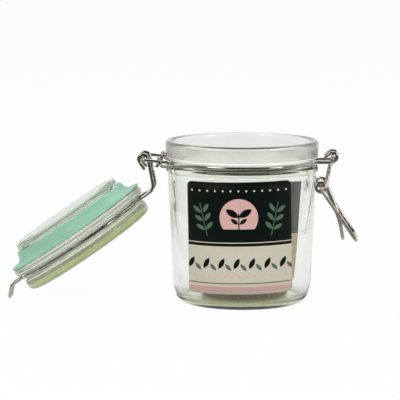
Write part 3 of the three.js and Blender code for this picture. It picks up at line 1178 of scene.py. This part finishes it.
@dataclass
class Label:
    """A printed film on the tapered wall, in millimetres, with its tilt in radians."""

    jar: GlassJar
    half_width: float = 29.2
    height: float = 63.8
    bottom: float = 10.1
    tilt: float = 0.016
    corner: float = 2.5
    corner_steps: int = 6
    thickness: float = 0.25
    gap: float = 0.2
    columns: int = 64
    rows: int = 10
    slit: float = 1e-4

    def flat(self) -> BMesh:
        """Cuts the flat film, with round corners, into columns and rows.

        Returns:
            The film, in millimetres.
        """
        mesh = bmesh.new()
        bmesh.ops.create_grid(mesh, x_segments=1, y_segments=1, size=0.5)
        bmesh.ops.scale(mesh, vec=(2 * self.half_width, self.height, 1), verts=mesh.verts)
        bmesh.ops.translate(mesh, vec=(0, self.height / 2, 0), verts=mesh.verts)
        bmesh.ops.bevel(
            mesh, geom=mesh.verts[:], offset=self.corner, affect="VERTICES", segments=self.corner_steps,
            profile=0.5, material=-1,
        )
        for column in range(1, self.columns):
            self.cut(mesh, ((column / self.columns * 2 - 1) * self.half_width, 0, 0), (1, 0, 0))
        for row in range(1, self.rows):
            self.cut(mesh, (0, row * self.height / self.rows, 0), (0, 1, 0))
        return mesh

    def cut(self, mesh: BMesh, place: Triple, normal: Triple) -> None:
        """Cuts the film along a line."""
        geometry = mesh.verts[:] + mesh.edges[:] + mesh.faces[:]
        bmesh.ops.bisect_plane(mesh, geom=geometry, dist=self.slit, plane_co=place, plane_no=normal)

    def wind(self, mesh: BMesh) -> None:
        """Maps the print to the film and winds the film, a little tilted, round the wall.

        Args:
            mesh: The flat film, which is changed.
        """
        chart = mesh.loops.layers.uv.new("print")
        places = {vert: (vert.co.x / PRINT_SPAN + 0.5, vert.co.y / PRINT_SPAN) for vert in mesh.verts}
        middle = (0, self.height / 2, 0)
        bmesh.ops.rotate(mesh, cent=middle, matrix=Matrix.Rotation(self.tilt, 3, "Z"), verts=mesh.verts)
        for vert in mesh.verts:
            across, up = vert.co.x, vert.co.y
            radius = self.jar.wall_radius(self.bottom + up) + self.gap + self.thickness
            angle = math.asin(across / radius)
            vert.co = Vector((across, -radius * math.cos(angle), self.bottom + up)) * MM
        for face in mesh.faces:
            for loop in face.loops:
                loop[chart].uv = places[loop.vert]

    def build(self, front: Material, reverse: Material) -> Object:
        """Makes the label.

        Args:
            front: The printed side.
            reverse: The side on the glass, and the film's edge.

        Returns:
            The label.
        """
        mesh = self.flat()
        self.wind(mesh)
        soften(mesh)
        label = place_piece(mesh, "printed_film", [front, reverse], Body.JAR, "front_label")
        film = label.modifiers.new("film", "SOLIDIFY")
        film.thickness = self.thickness * MM
        film.offset = -1
        film.material_offset = film.material_offset_rim = 1
        return label


@dataclass
class CoirDisc:
    """The pressed disc of coir with loose strands on it, in millimetres.

    The crease is in degrees. A strand bends by radians, rises by a share of its step and sinks in by a share
    of the crumble, and one in side_share lies on the disc's side.
    """

    jar: GlassJar
    margin: float = 10.95
    height: float = 7.0
    round_: float = 2.2
    shift: float = 1.5
    gap: float = 0.3
    crumble: float = 0.55
    crumbs_per_metre: float = 600.0
    crumb_dimension: float = 0.8
    crumb_step: float = 2.1
    crumb_octaves: int = 5
    crease: float = 60.0
    segments: int = 128
    strand_count: int = 420
    strand_seed: int = 7
    strand_radius: float = 0.11
    strand_sides: int = 3
    strand_step: float = 1.5
    strand_steps: tuple[int, int] = (3, 6)
    strand_bend: float = 0.5
    strand_rise: float = 0.08
    strand_sink: float = 0.4
    side_share: int = 3

    @property
    def radius(self) -> float:
        """The disc's radius."""
        return self.jar.heel_radius - self.jar.wall - self.margin

    @property
    def bottom(self) -> float:
        """The height of the disc's underside."""
        return self.jar.floor_z + self.gap

    def crumbled(self, place: Vector) -> float:
        """Measures how far the surface has crumbled.

        Args:
            place: A place on it, in metres.

        Returns:
            The depth there, in metres.
        """
        spot = place * self.crumbs_per_metre
        rough = noise.fractal(spot, self.crumb_dimension, self.crumb_step, self.crumb_octaves)
        return self.crumble * MM * (0.5 + rough / 2)

    def block(self) -> BMesh:
        """Makes the pressed block with its crumbled surface.

        Returns:
            The block.
        """
        low, high = self.bottom, self.bottom + self.height
        radius, edge = self.radius, self.radius - self.round_
        path = Profile(0, low).line(edge, low, steps=12)
        path.bend((radius, low), (radius, low + self.round_), steps=4)
        path.line(radius, high - self.round_, steps=6).bend((radius, high), (edge, high), steps=4)
        mesh = path.line(0, high, steps=28).spin(self.segments)
        mesh.normal_update()
        for vert in mesh.verts:
            vert.co -= vert.normal * self.crumbled(vert.co)
        return mesh

    def strand(self, draw: random.Random) -> BMesh:
        """Makes a bent strand that starts at the origin and lies along X.

        Args:
            draw: The random draws.

        Returns:
            The strand.
        """
        mesh = bmesh.new()
        radius, lying = self.strand_radius * MM, Matrix.Rotation(math.pi / 2, 3, "Y")
        bmesh.ops.create_circle(mesh, cap_ends=True, segments=self.strand_sides, radius=radius)
        bmesh.ops.rotate(mesh, cent=(0, 0, 0), matrix=lying, verts=mesh.verts)
        mesh.faces.ensure_lookup_table()
        tip = mesh.faces[0]
        heading = draw.uniform(-self.strand_bend, self.strand_bend)
        for _ in range(draw.randint(*self.strand_steps)):
            grown = bmesh.ops.extrude_face_region(mesh, geom=[tip])["geom"]
            tip = next(part for part in grown if isinstance(part, bmesh.types.BMFace))
            heading += draw.uniform(-self.strand_bend, self.strand_bend)
            rise = draw.uniform(-self.strand_rise, self.strand_rise)
            step = Vector((math.cos(heading), math.sin(heading), rise)) * self.strand_step * MM
            bmesh.ops.translate(mesh, vec=step, verts=tip.verts[:])
        bmesh.ops.recalc_face_normals(mesh, faces=mesh.faces)
        for face in mesh.faces:
            face.material_index = 1
        return mesh

    def perch(self, draw: random.Random, on_side: bool) -> Matrix:
        """Chooses where a strand lies.

        Args:
            draw: The random draws.
            on_side: Whether it lies on the disc's side or on its top.

        Returns:
            The matrix that takes it there.
        """
        around = draw.uniform(0, 2 * math.pi)
        sunk = self.crumble * self.strand_sink
        if on_side:
            out = self.radius - sunk
            lift = self.bottom + draw.uniform(self.round_, self.height - self.round_)
            turn = Matrix.Rotation(around + math.pi / 2, 4, "Z") @ Matrix.Rotation(math.pi / 2, 4, "X")
        else:
            out = (self.radius - 2 * self.round_) * math.sqrt(draw.random())
            lift = self.bottom + self.height - sunk
            turn = Matrix.Rotation(draw.uniform(0, 2 * math.pi), 4, "Z")
        place = Vector((out * math.cos(around), out * math.sin(around), lift))
        return Matrix.Translation(place * MM) @ turn

    def settle(self, strand: BMesh) -> None:
        """Keeps a strand on the disc, within its height and its edge.

        Args:
            strand: The strand, which is changed.
        """
        reach = self.radius - self.crumble / 2
        for vert in strand.verts:
            out = math.hypot(vert.co.x, vert.co.y) / MM
            if out > reach:
                vert.co.xy *= reach / out
            vert.co.z = max(vert.co.z, (self.bottom + self.round_ / 2) * MM)

    def scatter(self, mesh: BMesh) -> None:
        """Lays strands over the disc's top, and every few of them on its side.

        Args:
            mesh: The disc, which gets the strands.
        """
        draw = random.Random(self.strand_seed)
        carrier = bpy.data.meshes.new("strand")
        for index in range(self.strand_count):
            strand = self.strand(draw)
            on_side = index % self.side_share == 0
            bmesh.ops.transform(strand, matrix=self.perch(draw, on_side), verts=strand.verts)
            self.settle(strand)
            strand.to_mesh(carrier)
            strand.free()
            mesh.from_mesh(carrier)
        bpy.data.meshes.remove(carrier)

    def build(self, pith: Material, strands: Material) -> Object:
        """Makes the disc.

        Args:
            pith: The block's finish.
            strands: The strands' finish.

        Returns:
            The disc's piece.
        """
        mesh = self.block()
        soften(mesh, self.crease)
        self.scatter(mesh)
        bmesh.ops.translate(mesh, vec=(self.shift * MM, 0, 0), verts=mesh.verts)
        return place_piece(mesh, "coir_disc", [pith, strands], Body.JAR, "coir_puck")


@dataclass
class SeedSachet:
    """The paper sachet that leans back on the disc, in millimetres: a flat pillow with sealed ends.

    Roll and lean are in radians and the crease is in degrees. Waves are the noise's steps along and up the
    paper, and its slice.
    """

    jar: GlassJar
    margin: float = 4.05
    height: float = 56.5
    flare: float = 3.55
    crown: float = 3.1
    crown_power: float = 0.75
    edge: float = 0.35
    end_power: int = 4
    pinks: int = 20
    pink_depth: float = 1.1
    seal: float = 5.0
    rib_pitch: float = 1.25
    rib_depth: float = 0.12
    fold: float = 0.3
    fold_reach: float = 9.0
    fold_waves: Triple = (0.05, 0.42, 2.0)
    dent_waves: Triple = (0.11, 0.11, 7.0)
    roll: float = 0.03
    lean: float = 0.21
    setback: float = 8.0
    shift: float = 0.5
    crease: float = 50.0
    columns: int = 128
    rows: int = 160

    @property
    def half_length(self) -> float:
        """Half the sachet's length at the middle of its height."""
        return self.jar.heel_radius - self.jar.wall - self.margin

    def half_thickness(self, along: float, up: float) -> float:
        """Returns half the pillow's thickness at a place given as shares of its half length and height."""
        return self.edge + self.crown * (max(0.0, 1 - along**2) * max(0.0, 1 - up**2)) ** self.crown_power

    def relief(self, x: float, y: float) -> float:
        """Lifts the paper: ribs in the end seals, folds that run in from them, and dents.

        Args:
            x: A place along the sachet.
            y: Its height from the middle.

        Returns:
            How far the paper lifts there.
        """
        inset = self.half_length - abs(x)
        if inset < self.seal:
            return self.rib_depth * math.sin(2 * math.pi * inset / self.rib_pitch)
        near = math.exp((self.seal - inset) / self.fold_reach)
        folds, dents = (
            noise.noise(Vector((x * along, y * up, slice_)))
            for along, up, slice_ in (self.fold_waves, self.dent_waves)
        )
        return self.fold * (near * folds + dents / 2)

    def shape(self, mesh: BMesh) -> None:
        """Swells the flat shell to the pillow, pinks its left end and flares its right end.

        Args:
            mesh: The shell, which is changed.
        """
        pitch = self.height / self.pinks
        for vert in mesh.verts:
            x, y = vert.co.x, vert.co.y
            along, up = x / self.half_length, 2 * y / self.height
            side = 1 if vert.co.z > 0 else -1
            half = self.half_thickness(along, up)
            lift = side * half + self.relief(x, y) * min(1.0, half)
            tooth = 1 - abs((y + self.height / 2) / pitch % 1 - 0.5) * 2
            x += (self.flare * up if along > 0 else self.pink_depth * tooth) * along**self.end_power
            vert.co = Vector((x, y, lift)) * MM

    def build(self, paper: Material) -> Object:
        """Makes the sachet where its CAD node stands.

        Args:
            paper: Its paper.

        Returns:
            The sachet's piece.
        """
        mesh = bmesh.new()
        bmesh.ops.create_grid(mesh, x_segments=self.columns, y_segments=self.rows, size=0.5)
        bmesh.ops.scale(mesh, vec=(2 * self.half_length, self.height, 1), verts=mesh.verts)
        bmesh.ops.translate(mesh, vec=(0, 0, -0.5), verts=mesh.verts)
        bmesh.ops.solidify(mesh, geom=mesh.faces[:], thickness=-1.0)
        self.shape(mesh)
        bmesh.ops.recalc_face_normals(mesh, faces=mesh.faces)
        stand = Matrix.Rotation(math.pi / 2 - self.lean, 3, "X") @ Matrix.Rotation(self.roll, 3, "Z")
        bmesh.ops.rotate(mesh, cent=(0, 0, 0), matrix=stand, verts=mesh.verts)
        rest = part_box("seed_sachet")[0].z - min(vert.co.z for vert in mesh.verts)
        bmesh.ops.translate(mesh, vec=(self.shift * MM, self.setback * MM, rest), verts=mesh.verts)
        soften(mesh, self.crease)
        return place_piece(mesh, "paper_sachet", [paper], Body.JAR, "seed_sachet")


@dataclass(frozen=True)
class Lamp:
    """A soft square lamp, with its place and side in metres and its power in watts."""

    name: str
    place: Triple
    power: float
    side: float

    def hang(self, aim: Triple) -> None:
        """Hangs the lamp.

        Args:
            aim: The place that it faces.
        """
        data = bpy.data.lights.new(self.name, "AREA")
        data.energy = self.power
        data.size = self.side
        lamp = add_object(self.name, data)
        lamp.location = self.place
        way = Vector(aim) - Vector(self.place)
        lamp.rotation_euler = way.to_track_quat("-Z", "Y").to_euler()


@dataclass
class Studio:
    """Floor, light and camera, in metres and degrees.

    Limits hold where a level begins and ends to change, and its first and last values. Stops hold places
    from the camera's side, 0, to the back, 1, and their levels.
    """

    azimuth: float = 3.2
    elevation: float = 7.4
    distance: float = 1.27
    across: float = -0.0242
    up: float = 0.0585
    focal_pixels: float = 2200.0
    frame_pixels: float = 400.0
    sensor: float = 36.0
    clip: Point = (0.01, 100.0)
    floor_radius: float = 6.0
    floor_sides: int = 96
    floor_grey: float = 0.85
    floor_white: float = 0.95
    floor_gloss: float = 0.95
    floor_front_limits: tuple[float, ...] = (-0.3, 0.02, 0.04, 0.9)
    # Painted shadow round the jar's foot seen through glass: distances from the jar's axis, in metres, and
    # the floor's glow share at each.
    floor_clear_painted_shadow_limits: tuple[float, ...] = (0.035, 0.065, 0.18, 0.55)
    ambient: float = 0.5
    gloss_stops: tuple[Point, ...] = ((0.0, 0.03), (0.32, 0.05), (0.5, 0.4), (0.64, 0.9), (1.0, 1.0))
    clear_stops: tuple[Point, ...] = ((0.0, 0.4), (0.4, 0.45), (0.55, 0.7), (0.7, 0.97), (1.0, 1.0))
    aim: Triple = (-0.03, 0.0, 0.05)
    lamps: tuple[Lamp, ...] = (
        Lamp("key", (-0.75, -0.8, 0.9), power=6.0, side=0.6),
        Lamp("fill", (0.9, -0.6, 0.5), power=3.0, side=0.4),
        Lamp("top", (0.1, 0.3, 1.2), power=4.0, side=0.9),
    )

    def camera(self) -> None:
        """Sets the camera at the photograph's angle."""
        turn, lift = math.radians(self.azimuth), math.radians(self.elevation)
        right = Vector((math.cos(turn), math.sin(turn), 0))
        back = Vector((math.sin(turn) * math.cos(lift), -math.cos(turn) * math.cos(lift), math.sin(lift)))
        data = bpy.data.cameras.new("camera")
        data.sensor_width = self.sensor
        data.lens = self.focal_pixels / self.frame_pixels * self.sensor
        data.clip_start, data.clip_end = self.clip
        camera = add_object("camera", data)
        camera.location = right * self.across + Vector((0, 0, self.up)) + back * self.distance
        camera.rotation_euler = (-back).to_track_quat("-Z", "Y").to_euler()
        bpy.context.scene.camera = camera

    def floor_material(self) -> Material:
        """Makes a white floor that keeps a faint shadow and is darker in reflections towards the camera;
        seen through glass it carries a painted shadow that darkens it near the jar's foot.

        Returns:
            Its material.
        """
        material = bpy.data.materials.new("pale_floor")
        board = Board(material)
        place = board.node("TexCoord").outputs["Object"]
        away = board.feed(board.node("VectorMath", operation="LENGTH"), place).outputs["Value"]
        front = board.spread(board.axes(place)["Y"], *self.floor_front_limits)
        # Painted shadow: seen through glass, less of the floor glows near the jar's axis, so the floor round
        # the jar's foot looks shaded.
        clear = board.spread(away, *self.floor_clear_painted_shadow_limits)
        matt, glow = board.node("BsdfDiffuse"), board.node("Emission")
        board.join(self.floor_grey, matt.inputs["Color"])
        board.join(board.by_ray(1.0, front, 1.0, 1.0), glow.inputs["Strength"])
        white = board.by_ray(0.0, self.floor_gloss, clear, self.floor_white)
        both = board.feed(board.node("MixShader"), white, matt.outputs["BSDF"], glow.outputs["Emission"])
        board.join(both.outputs["Shader"], board.node("OutputMaterial").inputs["Surface"])
        return material

    def floor(self) -> None:
        """Lays the floor."""
        mesh = bmesh.new()
        bmesh.ops.create_circle(mesh, cap_ends=True, segments=self.floor_sides, radius=self.floor_radius)
        add_mesh(mesh, "floor", [self.floor_material()])

    def ramp(self, board: Board, depth: NodeSocket, stops: Sequence[Point]) -> NodeSocket:
        """Adds a grey ramp from the camera's side of the studio to its back.

        Args:
            board: The world's nodes.
            depth: The place from front, 0, to back, 1.
            stops: Places and levels.

        Returns:
            The level's socket.
        """
        shade = board.node("ValToRGB")
        elements = shade.color_ramp.elements
        while len(elements) < len(stops):
            elements.new(0.5)
        for element, (place, level) in zip(elements, stops):
            element.position = place
            element.color = (level, level, level, 1)
        return board.feed(shade, depth).outputs["Color"]

    def world(self) -> None:
        """Makes the white background, and a studio round it that is darker towards the camera."""
        world = bpy.data.worlds.new("studio")
        bpy.context.scene.world = world
        board = Board(world)
        depth = board.spread(board.axes(board.node("TexCoord").outputs["Generated"])["Y"], -1.0, 1.0)
        glossy, clear = (self.ramp(board, depth, stops) for stops in (self.gloss_stops, self.clear_stops))
        back = board.node("Background")
        board.join(board.by_ray(self.ambient, glossy, clear, 1.0), back.inputs["Color"])
        board.join(back.outputs["Background"], board.node("OutputWorld").inputs["Surface"])

    def build(self) -> None:
        """Sets up the floor, the light and the camera."""
        self.camera()
        self.floor()
        self.world()
        for lamp in self.lamps:
            lamp.hang(self.aim)
        bpy.context.scene.view_settings.view_transform = "Standard"


def corners(box: tuple[Vector, Vector]) -> list[list[float]]:
    """Returns a box's two corners as plain lists."""
    return [list(corner) for corner in box]


def main() -> None:
    logging.basicConfig(level=logging.INFO)
    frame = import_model()
    Studio().build()
    jar = GlassJar()
    jar.build(JAR_GLASS.material())
    HingedLid(jar).build(PLUG_GLASS.material(), CROWN_GLASS.material(), RUBBER.material())
    WireWork().build(frame["nodes"], STEEL.material())
    film = FilmFinish()
    Label(jar).build(film.front(), film.reverse())
    CoirDisc(jar).build(PITH.material(), STRANDS.material())
    SeedSachet(jar).build(KRAFT.material())


if __name__ == "__main__":
    main()
